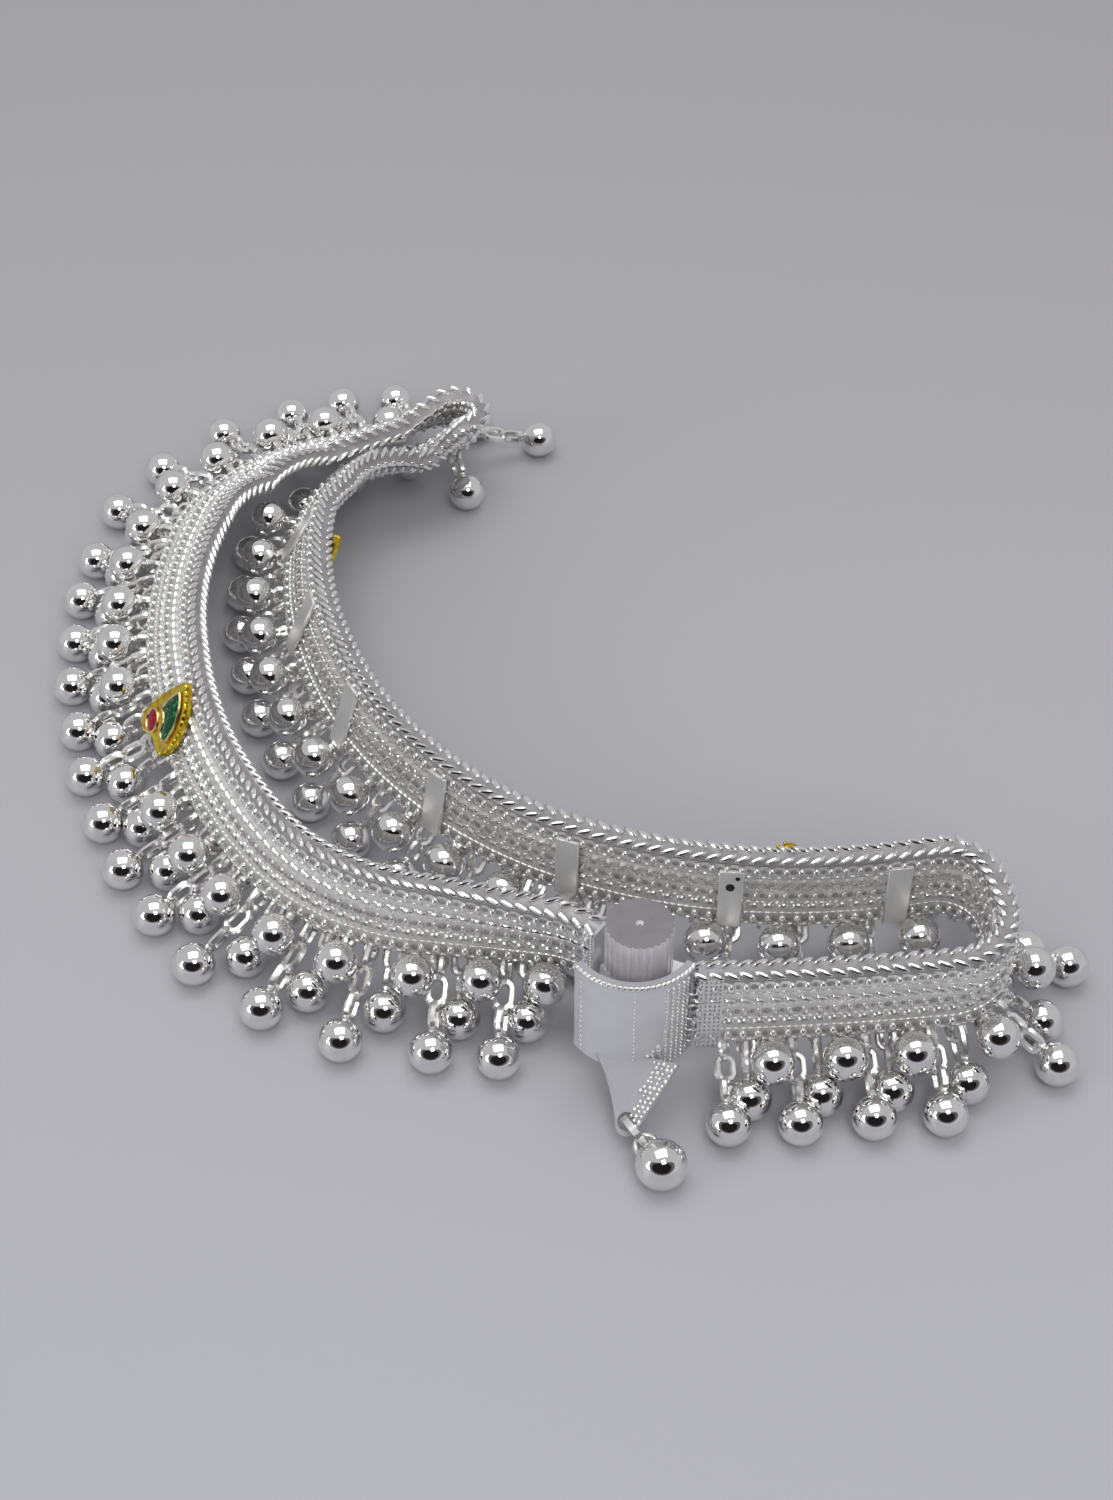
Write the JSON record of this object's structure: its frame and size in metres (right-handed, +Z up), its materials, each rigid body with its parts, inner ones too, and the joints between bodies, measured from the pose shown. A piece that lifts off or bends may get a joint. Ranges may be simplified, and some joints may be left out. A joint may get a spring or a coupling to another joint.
{
  "type": "payal anklet",
  "caption": "Wide silver ankle chain of knitted links with a braided top edge, a fringe of round bells, enamelled mango motifs and a screw clasp behind a cover plate.",
  "frame": {"origin": "centre of the footprint, on the surface the bells rest on", "axes": "+Z up through the loop, -Y towards the screw clasp, +X towards the short right-hand lobe"},
  "size_m": [0.0992, 0.1127, 0.0168],
  "materials": {
    "silver_polished": "polished silver",
    "silver_satin": "satin silver",
    "gilt": "polished gilt",
    "enamel_green": "glossy enamel",
    "enamel_red": "glossy enamel",
    "enamel_blue": "glossy enamel"
  },
  "bodies": {
    "anklet": {"top_braid_01": "silver_polished", "top_braid_02": "silver_polished", "top_braid_03": "silver_polished", "top_braid_04": "silver_polished", "top_braid_05": "silver_polished", "top_braid_06": "silver_polished", "top_braid_07": "silver_polished", "top_braid_08": "silver_polished", "top_braid_09": "silver_polished", "top_braid_10": "silver_polished", "top_braid_11": "silver_polished", "top_braid_12": "silver_polished", "top_braid_13": "silver_polished", "chain_rows_01": "silver_polished", "chain_rows_02": "silver_polished", "chain_rows_03": "silver_polished", "chain_rows_04": "silver_polished", "chain_rows_05": "silver_polished", "chain_rows_06": "silver_polished", "chain_rows_07": "silver_polished", "chain_rows_08": "silver_polished", "chain_rows_09": "silver_polished", "chain_rows_10": "silver_polished", "chain_rows_11": "silver_polished", "chain_rows_12": "silver_polished", "chain_rows_13": "silver_polished", "bell_fringe_01": "silver_polished", "bell_fringe_02": "silver_polished", "bell_fringe_03": "silver_polished", "bell_fringe_04": "silver_polished", "bell_fringe_05": "silver_polished", "bell_fringe_06": "silver_polished", "bell_fringe_07": "silver_polished", "bell_fringe_08": "silver_polished", "bell_fringe_09": "silver_polished", "bell_fringe_10": "silver_polished", "bell_fringe_11": "silver_polished", "bell_fringe_12": "silver_polished", "bell_fringe_13": "silver_polished", "left_end_cap": "silver_polished", "right_end_cap": "silver_polished", "left_knuckle": "silver_polished", "right_knuckle": "silver_polished", "clasp_cover_plate": "silver_polished", "tail_link": "silver_polished", "tail_bell": "silver_polished", "motif_left": "gilt", "motif_inner": "gilt", "motif_front": "gilt", "motif_left_green": "enamel_green", "motif_left_red": "enamel_red", "motif_inner_red": "enamel_red", "motif_inner_blue": "enamel_blue", "motif_front_green": "enamel_green", "motif_front_red": "enamel_red"},
    "clasp_screw": {"clasp_screw": "silver_satin"}
  },
  "joints": [
    {"name": "screw_lift", "type": "slide", "parent": "anklet", "child": "clasp_screw", "axis": [0, 0, 1], "range_m": [0, 0.01]}
  ]
}
